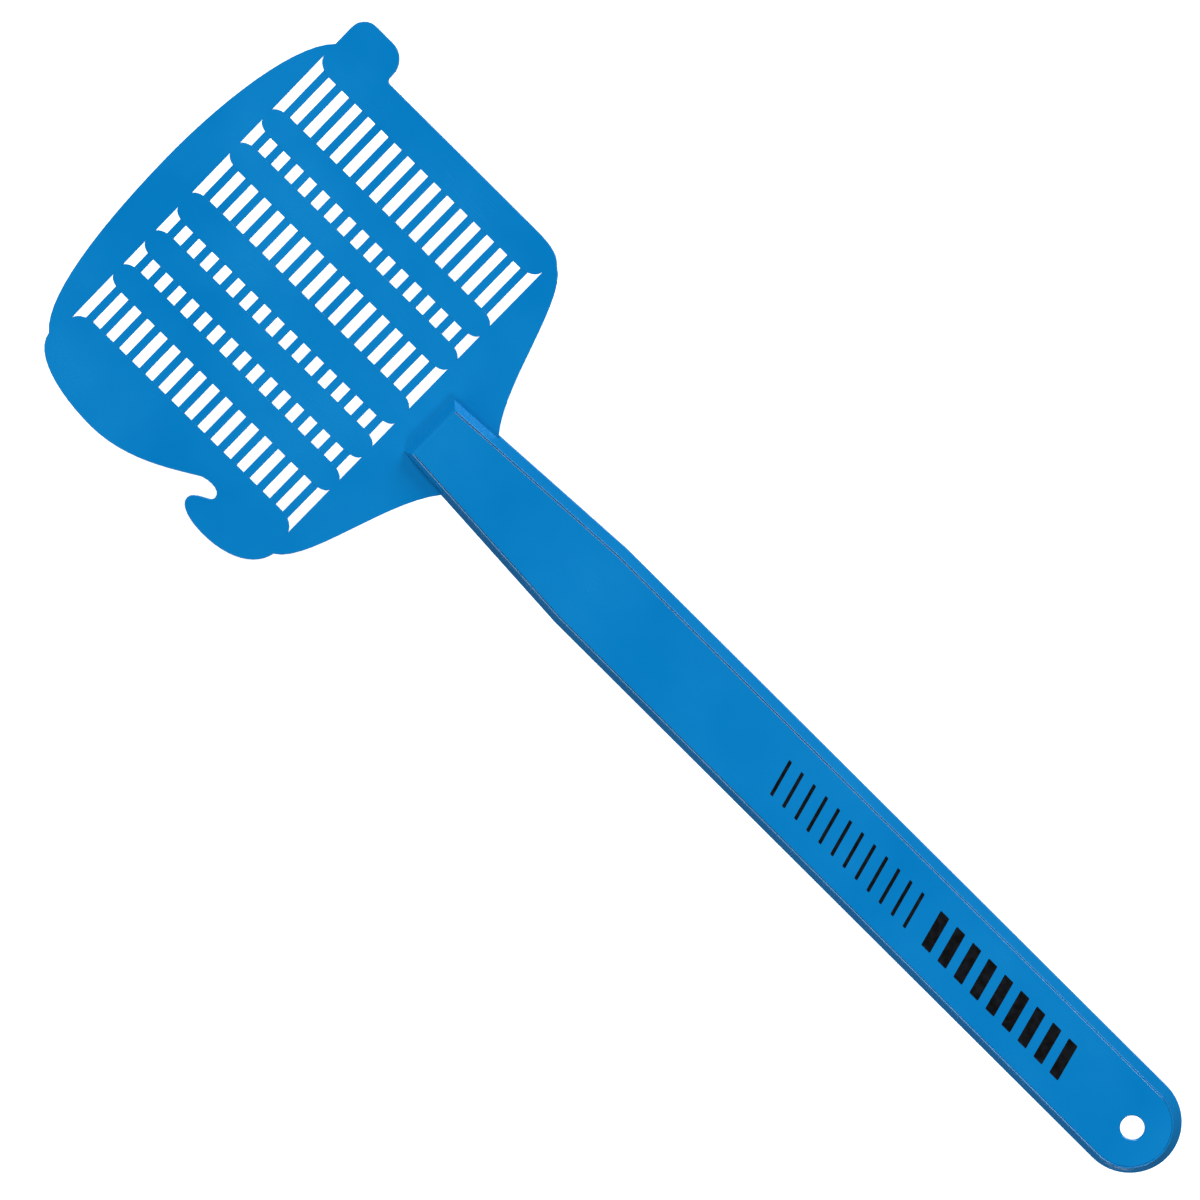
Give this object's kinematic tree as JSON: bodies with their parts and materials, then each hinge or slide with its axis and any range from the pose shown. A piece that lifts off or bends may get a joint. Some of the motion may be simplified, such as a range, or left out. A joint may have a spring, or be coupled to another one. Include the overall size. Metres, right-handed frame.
{
  "type": "fly swatter",
  "caption": "One-piece plastic fly swatter: a flat slotted head with a corner lug and a side notch, on a stiff ribbed handle with a hang hole.",
  "frame": {"origin": "centre of the hang hole at the back of the handle", "axes": "+Y up the handle to the head, +Z out of the face, +X to the side with the corner lug; the swatter lies on its back"},
  "size_m": [0.1408, 0.4062, 0.0056],
  "materials": {
    "moulded_plastic": "satin gloss, coloured through",
    "ink": "one-colour screen print"
  },
  "bodies": {
    "handle": {"flex_band": "moulded_plastic", "neck_gussets": "moulded_plastic", "nose_wall": "moulded_plastic", "handle_face": "moulded_plastic", "handle_left_wall": "moulded_plastic", "handle_right_wall": "moulded_plastic", "taper_left_wall": "moulded_plastic", "taper_right_wall": "moulded_plastic", "handle_end_wall": "moulded_plastic", "hang_hole_boss": "moulded_plastic", "centre_rib": "moulded_plastic", "cross_ribs": "moulded_plastic", "fine_stripes": "ink", "bold_stripes": "ink"},
    "head": {"head_crown": "moulded_plastic", "head_left_side": "moulded_plastic", "head_right_side": "moulded_plastic", "head_lower_rail": "moulded_plastic", "blade_1": "moulded_plastic", "blade_2": "moulded_plastic", "blade_3": "moulded_plastic", "blade_4": "moulded_plastic", "blade_5": "moulded_plastic", "slats_bay_1": "moulded_plastic", "slats_bay_2": "moulded_plastic", "slats_bay_3": "moulded_plastic", "slats_bay_4": "moulded_plastic", "slats_bay_5": "moulded_plastic", "slats_bay_6": "moulded_plastic"}
  },
  "joints": [
    {"name": "neck_flex", "type": "hinge", "parent": "handle", "child": "head", "pos_m": [0, 0.28775, 0.0008], "axis": [1, 0, 0], "range_deg": [-25, 25], "stiffness_Nm_per_rad": 1.2, "deforming": ["flex_band"]}
  ]
}
